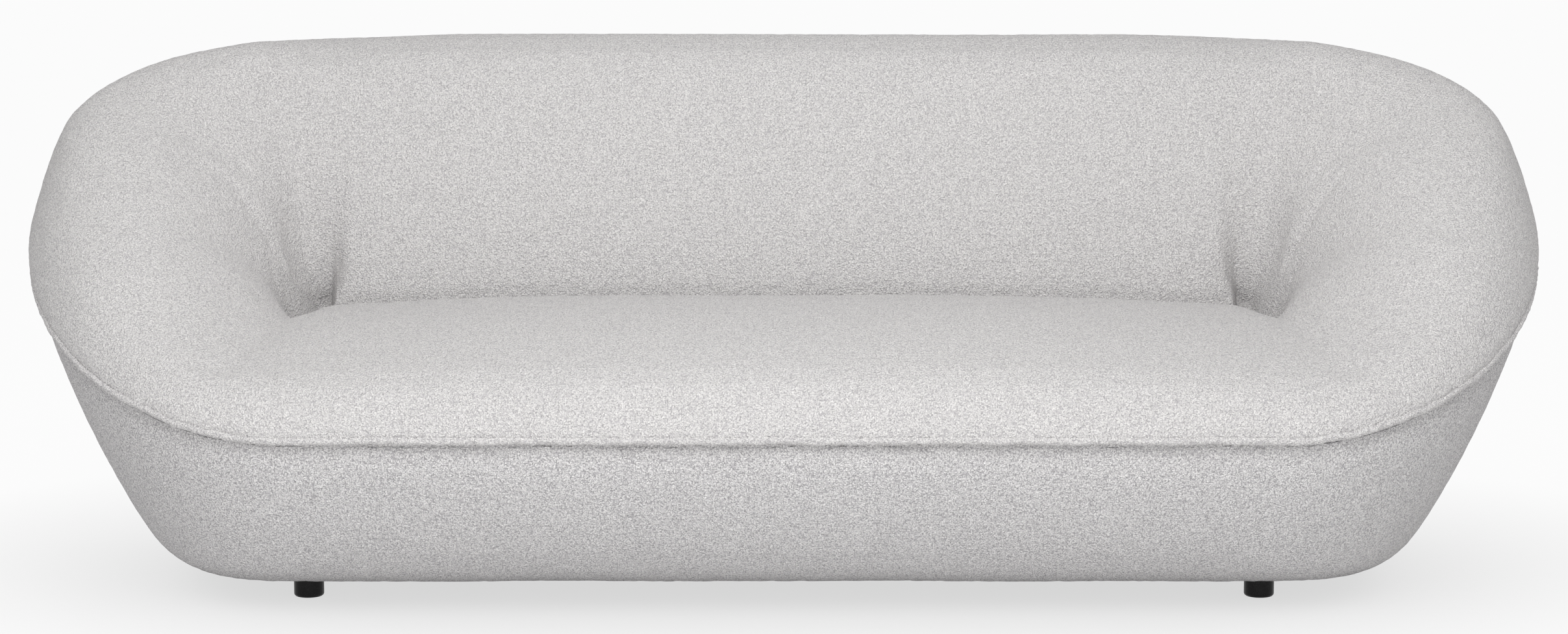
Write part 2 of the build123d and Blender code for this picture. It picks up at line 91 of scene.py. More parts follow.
SEAM_ROOM = 0.0063           # between the rim and the padding above or below it
COVER_THICKNESS = 0.003
COVER_TURN_UNDER = 0.030
FOAM_TOP = 0.0037
FOAM_BOTTOM = 0.0537
PADDING_BOTTOM = 0.0177
DUST_COVER_MARGIN = 0.012
DUST_COVER_THICKNESS = 0.001

# Values that follow from those
RIM_SLOPE = (WELT_HEIGHT_BACK - WELT_HEIGHT_FRONT) / (WELT_FRONT + WELT_BACK)
POCKET_CREST = SEAT_HEIGHT - SEAT_CROWN

# Mesh spacing of the cloth and of what is under it
CLOTH_STEP = 0.004
SOFT_STEP = 0.020
EDGE_CROWDING = 0.5          # how much closer the points lie towards the edges
FINE_ANGLES = 721
SHORTEST = 1e-12

# Camera, as the photograph was taken: place, pitch, focal length in pixels of its width
CAMERA_PLACE = (0.0, -5.0, 1.0)
CAMERA_PITCH = 0.1224
FOCAL_PIXELS = 5115.0
PICTURE_WIDTH = 2415.0
SENSOR_WIDTH = 36.0


# Form of the sofa

def smooth(value):
    """Eased step from 0 to 1."""
    value = np.clip(value, 0, 1)
    return value * value * (3 - 2 * value)


def ease(value, span):
    """Eased step from 0 at the start of a span to 1 at its end."""
    return smooth((value - span[0]) / (span[1] - span[0]))


def between(angle, keys):
    """Value at an angle, eased through pairs of angle and value."""
    for (low, first), (high, last) in zip(keys, keys[1:]):
        if angle <= high:
            share = (angle - low) / (high - low)
            return first + (last - first) * (1 - math.cos(math.pi * share)) / 2
    return keys[-1][1]


def keyed(angles, keys):
    """Values at several angles."""
    return np.array([between(angle, keys) for angle in angles])


def plan_radius(angle, front, side, back, power):
    """Distance from the pocket to a rounded end in plan."""
    turn = math.radians(angle)
    depth = front if angle <= 90 else back
    outwards = abs(math.sin(turn) / side) ** power
    forwards = abs(math.cos(turn) / depth) ** power
    return (outwards + forwards) ** (-1 / power)


def welt_radius(angle):
    """Distance from the pocket to the welt's inner side."""
    return plan_radius(angle, WELT_FRONT, WELT_SIDE, WELT_BACK, WELT_PLAN_POWER)


def tub_radius(angle):
    """Distance from the pocket to the edge of the tub's flat underside."""
    front, side, back = TUB_SETBACK
    return plan_radius(angle, WELT_FRONT - front, WELT_SIDE - side, WELT_BACK - back,
                       TUB_PLAN_POWER)


def rim_height(angle, radius):
    """Height of the tilted, bowed rim."""
    turn = math.radians(angle)
    climb = RIM_SLOPE * (WELT_FRONT - radius * math.cos(turn))
    return WELT_HEIGHT_FRONT + climb + WELT_BOW * math.sin(turn)


def crest(angle):
    """Radius and height of the ring's highest line."""
    reach = (angle - CREST_START_ANGLE) / (CREST_FULL_ANGLE - CREST_START_ANGLE)
    climb = smooth(min(max(reach, 0.0), 1.0) ** CREST_EASE)
    height = POCKET_CREST + (BACK_HEIGHT - POCKET_CREST) * climb
    return welt_radius(angle) - between(angle, CREST_SETBACK), height


def two_arcs(start, end, fullness, count=200):
    """Points of two tangent arcs that leave start level and bend on to end."""
    across = end[0] - start[0]
    rise = end[1] - start[1]
    a, b = abs(across), abs(rise)
    chord = math.atan2(b, a)
    turn = chord + fullness * (math.pi / 2 - chord)
    s1, c1, s2, c2 = math.sin(chord), math.cos(chord), math.sin(turn), math.cos(turn)
    det = s1 * (c1 - c2) - (s2 - s1) * (1 - c1)
    first = (a * (c1 - c2) - b * (s2 - s1)) / det
    second = (b * s1 - a * (1 - c1)) / det
    heading = np.linspace(0, turn, count)
    early = np.minimum(heading, chord)
    late = np.maximum(heading, chord)
    u = first * np.sin(early) + second * (np.sin(late) - s1)
    v = first * (1 - np.cos(early)) + second * (c1 - np.cos(late))
    r = start[0] + math.copysign(1, across) * u
    z = start[1] + math.copysign(1, rise) * v
    return np.stack([r, z], 1)


def ring_section(angle, lift=0.0, depth=0.0, tuck=TUCK_RADIUS):
    """Section of the ring at a depth below its cover, from the welt over the crest to the tuck."""
    welt = welt_radius(angle) - depth
    foot = (welt, rim_height(angle, welt) + SEAM_ROOM)
    radius, height = crest(angle)
    top = (radius, height + lift - depth)
    outside = two_arcs(top, foot, 1.0)[::-1]
    inside = two_arcs(top, (tuck + depth, TUCK_HEIGHT), between(angle, INNER_FULLNESS))
    return np.vstack([outside, inside[1:]])


def tub_section(angle, depth=0.0):
    """Section of the tub at a depth inside its cover, from the underside up to the welt."""
    welt = welt_radius(angle) - depth
    bottom = (tub_radius(angle), TUB_CLEARANCE + depth)
    top = (welt, rim_height(angle, welt) - SEAM_ROOM)
    return two_arcs(bottom, top, between(angle, TUB_FULLNESS))


def seat_lift(x):
    """Rise of the seat at x above its far ends."""
    return SEAT_CROWN * (1 - ease(abs(x), SEAT_FALLS))


def end_lift(angle):
    """What is left of that rise round the end of the seat."""
    return seat_lift(POCKET_X + SEAT_TURN * math.radians(angle))


# Grids round the sofa

def spaced(points, count):
    """The same line with points that lie closer towards both its ends."""
    step = np.r_[0, np.cumsum(np.linalg.norm(np.diff(points, axis=0), axis=1))]
    share = np.linspace(0, 1, count)
    at = step[-1] * (share - EDGE_CROWDING * np.sin(2 * math.pi * share) / (2 * math.pi))
    return np.stack([np.interp(at, step, points[:, k]) for k in range(points.shape[1])], 1)


def end_angles(step):
    """Angles round an end, evenly spaced along the welt."""
    fine = np.linspace(0, 180, FINE_ANGLES)
    radius = np.array([welt_radius(a) for a in fine])
    turn = np.radians(fine)
    line = np.stack([radius * np.sin(turn), -radius * np.cos(turn)], 1)
    along = np.r_[0, np.cumsum(np.linalg.norm(np.diff(line, axis=0), axis=1))]
    count = 2 * round(along[-1] / step / 2)
    return np.interp(np.linspace(0, along[-1], count + 1), along, fine)


def in_plane(section, angle, x):
    """Points of a section in its upright plane at x, which is turned by the angle."""
    turn = math.radians(angle)
    r, z = section[:, 0], section[:, 1]
    return np.stack([x + r * math.sin(turn), POCKET_Y - r * math.cos(turn), z], 1)


def loop_grid(section, step, across):
    """Grid of points round the sofa, starting at the left end of the seat front.

    section(angle, lift) gives a line from its lower, outer end inwards. Returns the grid and the
    first station of each stretch: front, right end, back, left end.
    """
    straight = 2 * round(POCKET_X / step)
    xs = np.linspace(-POCKET_X, POCKET_X, straight + 1)
    angles = end_angles(step)
    front = [in_plane(spaced(section(0, seat_lift(x)), across), 0, x) for x in xs[:-1]]
    right = [in_plane(spaced(section(a, end_lift(a)), across), a, POCKET_X) for a in angles]
    back_line = spaced(section(180, 0.0), across)
    back = [in_plane(back_line, 180, x) for x in xs[::-1]]
    mirrored = np.array(right[::-1]) * (-1, 1, 1)
    grid = np.concatenate([front, right[:-1], back[:-1], mirrored[:-1]])
    ends = np.cumsum([0, straight, len(angles) - 1, straight, len(angles) - 1])
    return grid, ends


def stretch(grid, ends, number):
    """One of the four stretches of a grid, with both its edges."""
    closed = np.concatenate([grid, grid[:1]])
    return closed[ends[number]:ends[number + 1] + 1]


def from_station(count, station, step):
    """Distance of each station of a closed grid from one of them."""
    away = np.abs(np.arange(count) - station)
    return np.minimum(away, count - away) * step


def grid_normals(grid):
    """Outward normals of a grid that closes on itself round the sofa."""
    along = np.roll(grid, -1, 0) - np.roll(grid, 1, 0)
    across = np.gradient(grid, axis=1)
    normal = np.cross(along, across)
    return normal / np.maximum(np.linalg.norm(normal, axis=2, keepdims=True), SHORTEST)


# Noise that is the same in every run
CELL_FACTORS = (374761393, 668265263, 1440662683)
SEED_FACTOR = 1013904223
MIX_FACTOR = 1274126177
WORD = 0xFFFFFFFF
NOISE_ORIGIN = 1000          # keeps the cells above zero
LOOP_SEED, LIP_SEED, LUMP_SEED, CORD_SEED, WAVE_SEED, RIPPLE_SEED = 3, 4, 5, 7, 8, 9


def lattice(cell, seed):
    """Even random numbers from 0 to 1 for whole-number cells."""
    mixed = (cell * CELL_FACTORS).sum(-1) + seed * SEED_FACTOR
    mixed = mixed.astype(np.uint64) & WORD
    mixed = ((mixed ^ (mixed >> 13)) * MIX_FACTOR) & WORD
    mixed = mixed ^ (mixed >> 16)
    return mixed.astype(np.float64) / WORD


def soft_noise(points, size, seed):
    """Smooth noise from -1 to 1, with lumps of a size."""
    place = points / size + NOISE_ORIGIN
    cell = np.floor(place).astype(np.int64)
    share = smooth(place - cell)
    total = 0
    for corner in np.ndindex(2, 2, 2):
        corner = np.array(corner)
        weight = np.prod(np.where(corner == 1, share, 1 - share), axis=-1)
        total = total + weight * lattice(cell + corner, seed)
    return total * 2 - 1


# Meshes

def new_piece(name, points, faces, stuff, rounded=True):
    """Mesh object of one material."""
    mesh = bpy.data.meshes.new(name)
    mesh.from_pydata(points, [], faces)
    mesh.update()
    piece = bpy.data.objects.new(name, mesh)
    bpy.context.scene.collection.objects.link(piece)
    mesh.materials.append(stuff)
    if rounded:
        mesh.polygons.foreach_set("use_smooth", np.ones(len(mesh.polygons), bool))
    return piece


def grid_faces(rows, columns, first=0, flip=False):
    """Faces of an open grid whose points begin at first."""
    i, j = np.meshgrid(np.arange(rows - 1), np.arange(columns - 1), indexing="ij")
    corner = first + i * columns + j
    ahead = corner + columns
    quads = np.stack([corner, ahead, ahead + 1, corner + 1], -1).reshape(-1, 4)
    return quads[:, ::-1] if flip else quads


def loop_faces(rows, columns, tube=False):
    """Faces of a grid that closes on itself round the sofa, and as a tube also across."""
    i, j = np.meshgrid(np.arange(rows), np.arange(columns if tube else columns - 1), indexing="ij")
    here, ahead, beside = i * columns, (i + 1) % rows * columns, (j + 1) % columns
    return np.stack([here + j, ahead + j, ahead + beside, here + beside], -1).reshape(-1, 4)


def some(count, skip):
    """Every skip-th number below count, and the last one."""
    return np.unique(np.r_[0:count:skip, count - 1])


def shell(name, outer, inner, stuff, skip=1, normals=None):
    """Closed piece between an outer and an inner grid, the inner one with every skip-th line.

    Normals of the outer grid, where given, let the shading run on into the next piece.
    """
    rows, columns, _ = outer.shape
    row, column = some(rows, skip), some(columns, skip)
    inner = inner[np.ix_(row, column)]
    fine = np.arange(rows * columns).reshape(rows, columns)
    coarse = rows * columns + np.arange(len(row) * len(column)).reshape(len(row), len(column))
    sides = (
        (fine[:, 0], coarse[:, 0], row),
        (fine[-1], coarse[-1], column),
        (fine[::-1, -1], coarse[::-1, -1], rows - 1 - row[::-1]),
        (fine[0, ::-1], coarse[0, ::-1], columns - 1 - column[::-1]),
    )
    wall = []
    for near, far, stops in sides:
        for k, (first, last) in enumerate(zip(stops, stops[1:])):
            wall.append([near[first], far[k], far[k + 1], *near[last:first:-1]])
    faces = grid_faces(rows, columns).tolist()
    faces += grid_faces(len(row), len(column), rows * columns, True).tolist()
    points = np.concatenate([outer.reshape(-1, 3), inner.reshape(-1, 3)])
    piece = new_piece(name, points, faces + wall, stuff)
    if normals is not None:
        inside = -normals[np.ix_(row, column)]
        ways = np.concatenate([normals.reshape(-1, 3), inside.reshape(-1, 3)])
        piece.data.normals_split_custom_set_from_vertices(ways.tolist())
    return piece


# Materials

LOOP_SIZE = 0.0028
LOOP_RANDOM = 0.85
LOOP_DROP = -0.8             # height lost from the middle of a loop outwards
FIBRE_SIZE = 0.0016
FIBRE_DROP = -0.6
WANDER_SCALE = 420.0
LOOP_WANDER = 0.0022
LOOP_SHADE = 0.06
LOOP_RELIEF = 1.0
LOOP_RELIEF_LOW = 1.25       # the loops of the tub hang open
PILE_PAINTED_SHADE_STOPS = (0.02, 0.55)    # pile heights with the dark colour of painted shade in the gaps and the light colour
CLUMP_SIZE = 0.0050
CLUMP_SHADE = 0.10
CLUMP_LIFT = 0.6
PAINTED_SHADE_REACH = 0.10          # painted shade: the cloth's colour is darkened in deep folds by ambient occlusion
PAINTED_SHADE_OPEN = (0.10, 0.45)
PAINTED_CREASE_SHADE = 0.76
PAINTED_SHADE_SAMPLES = 6
GRAIN_STOPS = (0.3, 0.7)
WEAR_STOPS = (0.4, 0.75)
SCALAR, VECTOR = "ShaderNodeMath", "ShaderNodeVectorMath"


def material(name):
    """New material with its node tree and its surface node."""
    made = bpy.data.materials.new(name)
    made.use_nodes = True
    tree = made.node_tree
    return made, tree, tree.nodes["Principled BSDF"]


def connect(tree, value, socket):
    """Link a socket to another one, or set it to a value."""
    if isinstance(value, bpy.types.NodeSocket):
        tree.links.new(value, socket)
    else:
        socket.default_value = value


def add(tree, kind, settings=None, **inputs):
    """New node with its settings, and with a value or a link for each input named."""
    node = tree.nodes.new(kind)
    for key, value in (settings or {}).items():
        setattr(node, key, value)
    for key, value in inputs.items():
        connect(tree, value, node.inputs[key.replace("_", " ")])
    return node


def maths(tree, operation, *values, kind=SCALAR):
    """Result of an operation on values or sockets."""
    node = add(tree, kind, {"operation": operation})
    for value, socket in zip(values, node.inputs):
        connect(tree, value, socket)
    return node.outputs[0]


def ramp(tree, value, places, colours):
    """Colour between two colours, by where a value lies between two places."""
    node = add(tree, "ShaderNodeValToRGB", Fac=value)
    for item, place, colour in zip(node.color_ramp.elements, places, colours):
        item.position = place
        item.color = (*colour, 1)
    return node.outputs["Color"]


def object_place(tree):
    """Place on the object, in metres."""
    return add(tree, "ShaderNodeTexCoord").outputs["Object"]


def noise(tree, place, **inputs):
    """Grey noise at a place."""
    return add(tree, "ShaderNodeTexNoise", Vector=place, **inputs).outputs["Fac"]


def finish(tree, surface, colour, height, strength, depth, **inputs):
    """Give a surface its colour, its relief and the inputs named."""
    bump = add(tree, "ShaderNodeBump", Height=height, Strength=strength, Distance=depth)
    tree.links.new(colour, surface.inputs["Base Color"])
    tree.links.new(bump.outputs["Normal"], surface.inputs["Normal"])
    for key, value in inputs.items():
        connect(tree, value, surface.inputs[key.replace("_", " ")])


def linear(red, green, blue):
    """Scene colour of an 8-bit screen colour."""
    return tuple(((c / 255 + 0.055) / 1.055) ** 2.4 for c in (red, green, blue))


def boucle(name, light, dark, relief):
    """Looped wool cloth: small curls that stand up, each of its own tint, with shade painted into
    the colour in the gaps between them and in deep folds.
    """
    made, tree, surface = material(name)
    place = object_place(tree)
    wander = add(tree, "ShaderNodeTexNoise", Vector=place, Scale=WANDER_SCALE, Detail=1.0)
    bent = maths(tree, "MULTIPLY_ADD", wander.outputs["Color"], (LOOP_WANDER,) * 3, place,
                 kind=VECTOR)
    loops = add(tree, "ShaderNodeTexVoronoi", Vector=bent, Scale=1 / LOOP_SIZE,
                Randomness=LOOP_RANDOM)
    fibres = add(tree, "ShaderNodeTexVoronoi", Vector=bent, Scale=1 / FIBRE_SIZE)
    clumps = noise(tree, place, Scale=1 / CLUMP_SIZE, Detail=0.0)
    height = maths(tree, "MULTIPLY_ADD", fibres.outputs["Distance"], FIBRE_DROP, 1.0)
    height = maths(tree, "MULTIPLY_ADD", loops.outputs["Distance"], LOOP_DROP, height)
    own = add(tree, "ShaderNodeSeparateColor", Color=loops.outputs["Color"]).outputs[0]
    # Painted shade: the colour darkens from the loop tops down into the gaps between them, mixed
    # with a random tint per loop and per clump
    painted_shade_and_tint = maths(tree, "MULTIPLY", height, 1 - LOOP_SHADE)
    painted_shade_and_tint = maths(tree, "MULTIPLY_ADD", clumps, CLUMP_SHADE, painted_shade_and_tint)
    painted_shade_and_tint = maths(tree, "SUBTRACT", painted_shade_and_tint, CLUMP_SHADE / 2)
    painted_shade_and_tint = maths(tree, "MULTIPLY_ADD", own, LOOP_SHADE, painted_shade_and_tint)
    colour = ramp(tree, painted_shade_and_tint, PILE_PAINTED_SHADE_STOPS, (dark, light))
    # Painted shade: ambient occlusion darkens the base colour in deep folds and in the pockets
    open_sky = add(tree, "ShaderNodeAmbientOcclusion", {"samples": PAINTED_SHADE_SAMPLES},
                   Distance=PAINTED_SHADE_REACH).outputs["AO"]
    shade = ramp(tree, open_sky, PAINTED_SHADE_OPEN, ((PAINTED_CREASE_SHADE,) * 3, (1, 1, 1)))
    colour = maths(tree, "MULTIPLY", colour, shade, kind=VECTOR)
    lifted = maths(tree, "MULTIPLY_ADD", clumps, CLUMP_LIFT, height)
    finish(tree, surface, colour, lifted, 1.0, relief * LOOP_SIZE, Roughness=0.95,
           Specular_IOR_Level=0.15, Sheen_Weight=0.12, Sheen_Roughness=0.6)
    return made


def speckled(name, light, dark, size, roughness, depth, metallic=0.0):
    """Plain material with fine mottling, for foam, fibre, felt, steel and the like."""
    made, tree, surface = material(name)
    grain = noise(tree, object_place(tree), Scale=1 / size, Detail=4.0)
    finish(tree, surface, ramp(tree, grain, GRAIN_STOPS, (dark, light)), grain, 0.5, depth,
           Roughness=roughness, Metallic=metallic)
    return made


def wood(name, light, dark, scale):
    """Grain drawn out by a scale along each axis, with fine pores."""
    made, tree, surface = material(name)
    drawn = add(tree, "ShaderNodeMapping", Vector=object_place(tree), Scale=scale)
    grain = noise(tree, drawn.outputs["Vector"], Scale=14.0, Detail=6.0, Distortion=0.6)
    finish(tree, surface, ramp(tree, grain, GRAIN_STOPS, (dark, light)), grain, 0.3, 0.001,
           Roughness=0.6)
    return made


def gloss_black(name, light, dark):
    """Moulded black plastic with a faint ripple and fine wear."""
    made, tree, surface = material(name)
    place = object_place(tree)
    ripple = noise(tree, place, Scale=60.0, Detail=2.0)
    wear = noise(tree, place, Scale=400.0, Detail=5.0)
    rough = maths(tree, "MULTIPLY_ADD", wear, 0.15, 0.14)
    finish(tree, surface, ramp(tree, wear, WEAR_STOPS, (dark, light)), ripple, 0.1, 0.001,
           Roughness=rough, Specular_IOR_Level=0.2)
    return made


# The dark colours are painted shade in the gaps between loops. The tub's copy of the same cloth is
# painted lighter, with deeper gap shade, for how the light falls on its downward-facing sides
CLOTH_LIGHT, CLOTH_GAP_PAINTED_SHADE = linear(243, 241, 239), linear(193, 190, 192)
TUB_LIGHT_PAINTED_BRIGHTER, TUB_GAP_PAINTED_SHADE = linear(254, 252, 251), linear(184, 181, 184)

cloth = boucle("boucle_cloth", CLOTH_LIGHT, CLOTH_GAP_PAINTED_SHADE, LOOP_RELIEF)
tub_cloth_painted_light = boucle("boucle_tub_painted_light", TUB_LIGHT_PAINTED_BRIGHTER, TUB_GAP_PAINTED_SHADE, LOOP_RELIEF_LOW)
welt_cloth = boucle("boucle_welt", CLOTH_LIGHT, CLOTH_GAP_PAINTED_SHADE, LOOP_RELIEF)

# Name, light and dark colour, size of the mottling, roughness, depth of relief, metal
foam_stuff = speckled(
    "cut_foam", (0.80, 0.74, 0.58), (0.70, 0.63, 0.46), 0.004, 0.95, 0.001)
fibre_stuff = speckled(
    "fibre_wadding", (0.82, 0.82, 0.80), (0.62, 0.62, 0.61), 0.012, 0.98, 0.004)
felt_stuff = speckled(
    "black_felt", (0.035, 0.035, 0.037), (0.012, 0.012, 0.013), 0.003, 0.95, 0.0005)
spring_stuff = speckled(
    "spring_wire", (0.50, 0.49, 0.46), (0.30, 0.29, 0.27), 0.010, 0.35, 0.0002, 1.0)
screw_stuff = speckled(
    "screw_zinc", (0.62, 0.62, 0.60), (0.42, 0.42, 0.41), 0.004, 0.3, 0.0001, 1.0)
web_stuff = speckled(
    "jute_web", (0.42, 0.31, 0.18), (0.22, 0.15, 0.08), 0.003, 0.9, 0.001)
timber_stuff = wood("pine_rail", (0.62, 0.43, 0.24), (0.42, 0.26, 0.13), (0.25, 6.0, 6.0))
plywood_stuff = wood("birch_ply", (0.66, 0.50, 0.31), (0.46, 0.31, 0.17), (0.6, 0.6, 9.0))
plastic_stuff = gloss_black("foot_plastic", (0.010,) * 3, (0.003,) * 3)


# Upholstery

RING_LENGTH = 0.78           # about what a line of the ring or of the tub measures
TUB_LENGTH = 0.44
INSIDE_SKIP = 4              # the inside of a cover has every fourth line
WELT_TUCK = 0.005            # how far the cloth's edge goes in behind the cord
LIP = ((0, 0.0052), (60, 0.0022), (100, 0.0008), (180, 0.0015))
LIP_BEGINS = 0.005           # distances from the cloth's edge
LIP_FULL = 0.006
LIP_REACH = 0.026
LIP_UNEVEN = 0.30
LIP_LUMP = 0.014
BULGE = ((0, 0.0), (40, 0.002), (85, 0.008), (130, 0.003), (180, 0.001))
BULGE_REACH = 0.021
TUB_GROOVE = 0.0055          # the tub's edge is drawn in below the cord
SLOT_HALF = 0.002            # half of the tuck slot between seat and back
SLOT_HALF_END = 0.003
NAP = 0.0005                 # unevenness of the loops
NAP_SIZE = 0.009
NAP_FROM_POLE = 0.04         # distances over which it sets in
NAP_FROM_CORD = 0.010
LUMP = 0.0010                # unevenness of the filling
LUMP_SIZE = 0.16
GROOVE = 0.0003              # depth of a sewn seam
GROOVE_WIDTH = 0.0035
GROOVE_FROM_POLE = 0.03
SEAM_SLANT = 0.043           # how far the front seams come in towards the cord
SLANT_BEGINS = 0.230         # distance in front of the pocket
SLANT_ENDS = 0.567
SLANT_SPREAD = 0.12
SWELL = 0.003                # most that the filling lifts the cloth
SWELL_STEP = 0.022
SWELL_COARSER = 3            # the trial has a third of the fine grid's points across
SWELL_FRAMES = 20
SWELL_PRESSURE = 4.0
SWELL_QUALITY = 5
WELT_SIDES = 12
CORD_UNEVEN = 0.20           # share of the cord's radius
CORD_LUMP = 0.006
WAVE, WAVE_SIZE = 0.0016, 0.05
RIPPLE, RIPPLE_SIZE = 0.0010, 0.013

# The cloth is drawn outwards, back and down into the two pockets
DRAW_IN = ((0, 0.0), (15, 0.0), (45, 0.048), (80, 0.042), (180, 0.0))
DRAW_REACH = 0.125
PULL_OUT = ((0, 0.035), (50, 0.030), (90, 0.020), (135, 0.010), (180, -0.018))
PULL_REACH = 0.13
PULL_ALONG = 0.4
PULL_FADES = (0.46, 0.66)    # heights
FOLD = 0.012                 # how far the end of the back is rounded off
FOLD_RISES = (0.640, 0.694)
FOLD_WIDTH = (0.012, 0.024)  # low down, and what it gains higher up
FOLD_SOFTENS = (0.38, 0.46)
HOLLOW = 0.060               # depth behind the rounded end of the back
HOLLOW_EDGE = 0.707
HOLLOW_ENDS = (0.690, 0.820)
HOLLOW_BEHIND = 0.02         # distance behind the tuck line over which it sets in
HOLLOW_FLOOR = (0.320, 0.350)
HOLLOW_FADES = (0.378, 0.090)  # height where it starts to fade, and how fast
DIP = 0.040                  # depth of the dip at the end of the seat
DIP_X = 0.750
DIP_WIDTH = 0.032
DIP_LENGTH = 0.12
DIP_FADES = (0.41, 0.45)
DIP_BACK = 0.01              # the dip ends behind the tuck line
DIP_BACK_FADE = 0.02
PLATE_ROOM = 0.004           # the dip stops this far above the plate under the pocket

# The back's top edge is highest in the middle and slopes at the shoulders
TOP_RISE = 0.004
TOP_FALL = 0.0095
TOP_FALLS = (0.50, 0.86)
TOP_LEVELS = (0.86, 1.00)
TOP_FADES = (0.55, 0.75)


def station_angles(grid):
    """Angle round the nearer pocket of each line of the grid."""
    x, y = np.abs(grid[..., 0]).max(1), grid[..., 1]
    first, last = y[:, 0], y[:, -1]
    outer = np.where(np.abs(first - POCKET_Y) > np.abs(last - POCKET_Y), first, last)
    return np.degrees(np.arctan2(np.maximum(x - POCKET_X, 0), POCKET_Y - outer))


def hollow_depth(x, y, z, clear):
    """How far back the cloth goes behind the rounded end of the back."""
    width = FOLD_WIDTH[0] + FOLD_WIDTH[1] * ease(z, FOLD_SOFTENS)
    step = smooth((x + clear - HOLLOW_EDGE + width) / width)
    depth = FOLD * ease(x + clear, FOLD_RISES) + HOLLOW * step
    depth = depth * (1 - ease(x - clear, HOLLOW_ENDS))
    fades = np.exp(-np.maximum(z - HOLLOW_FADES[0], 0) / HOLLOW_FADES[1])
    return depth * smooth((y - POCKET_Y) / HOLLOW_BEHIND) * ease(z, HOLLOW_FLOOR) * fades


def dip_depth(x, y, z):
    """How far down the cloth goes at the end of the seat."""
    dip = np.exp(-((x - DIP_X) / DIP_WIDTH) ** 2 - ((y - POCKET_Y) / DIP_LENGTH) ** 2)
    dip = dip * (1 - ease(z, DIP_FADES))
    return DIP * (dip * smooth((POCKET_Y + DIP_BACK - y) / DIP_BACK_FADE))


def pocket_pull(grid, clear=0.0):
    """The grid moved as the cloth is where it is sewn down in the pockets.

    For what lies under the cloth, the hollow is wider by clear.
    """
    side = np.where(grid[..., 0] < 0, -1.0, 1.0)
    x, y, z = np.abs(grid[..., 0]), grid[..., 1], grid[..., 2]
    angles = station_angles(grid)
    turn = np.radians(angles)[:, None]
    share = (np.hypot(np.maximum(x - POCKET_X, 0), y - POCKET_Y) / DRAW_REACH) ** 2
    inwards = keyed(angles, DRAW_IN)[:, None] * share * np.exp(1 - share)
    x, y = x - inwards * np.sin(turn), y + inwards * np.cos(turn)
    out = keyed(angles, PULL_OUT)[:, None]
    along = np.where(x < POCKET_X, (POCKET_X - x) * PULL_ALONG, x - POCKET_X)
    near = np.exp(-(np.hypot(along, y - POCKET_Y) / PULL_REACH) ** 2)
    x = x + out * near * (1 - ease(z, PULL_FADES))
    plate = TUCK_HEIGHT + (0.0 if clear else PLATE_ROOM)
    low = np.maximum(z - dip_depth(x, y, z), np.minimum(z, plate))
    top = TOP_RISE - TOP_FALL * ease(x, TOP_FALLS) + (TOP_FALL - TOP_RISE) * ease(x, TOP_LEVELS)
    far = y + hollow_depth(x, y, z, clear)
    return np.stack([side * x, far, low + top * ease(z, TOP_FADES)], -1)


def slanted(grid, ends):
    """The grid slid along itself so that the front seams come in towards the cord."""
    count = len(grid)
    forwards = POCKET_Y - grid[..., 1]
    share = np.clip((forwards - SLANT_BEGINS) / (SLANT_ENDS - SLANT_BEGINS), 0, 1)
    place = np.arange(count)[:, None] * np.ones(grid.shape[1])
    step = 2 * POCKET_X / (ends[1] - ends[0])
    for station, way in ((ends[0], 1), (ends[1], -1)):
        near = np.exp(-(from_station(count, station, step) / SLANT_SPREAD) ** 2)
        place = place + way * SEAM_SLANT / step * near[:, None] * share
    first = np.floor(place).astype(int)
    part = (place - first)[..., None]
    column = np.arange(grid.shape[1])[None]
    return grid[first % count, column] * (1 - part) + grid[(first + 1) % count, column] * part


def ring_line(angle, lift):
    """Outer line of the upper cloth, with its edge behind the cord."""
    widening = math.sin(math.radians(angle)) ** 2
    line = ring_section(angle, lift, tuck=SLOT_HALF + (SLOT_HALF_END - SLOT_HALF) * widening)
    welt = welt_radius(angle)
    edge = (welt - WELT_TUCK, rim_height(angle, welt) + WELT_RADIUS / 3)
    return np.vstack([edge, line])


def tub_line(angle, lift):
    """Outer line of the lower cloth, from its turned-in edge below up to behind the cord."""
    line = tub_section(angle)
    welt = welt_radius(angle)
    under = (tub_radius(angle) - COVER_TURN_UNDER, TUB_CLEARANCE)
    edge = (welt - WELT_TUCK, rim_height(angle, welt) - WELT_RADIUS / 3)
    return np.vstack([under, line, edge])


def cord_line(angle, lift):
    """Circle of the welt cord."""
    turn = np.linspace(0, 2 * math.pi, WELT_SIDES + 1)
    radius = welt_radius(angle)
    r = radius + WELT_CENTRE + WELT_RADIUS * np.cos(turn)
    return np.stack([r, rim_height(angle, radius) + WELT_RADIUS * np.sin(turn)], 1)


def along_lines(grid):
    """Distance of each point along its line across the grid."""
    step = np.linalg.norm(np.diff(grid, axis=1), axis=2)
    return np.concatenate([np.zeros((len(grid), 1)), np.cumsum(step, axis=1)], 1)


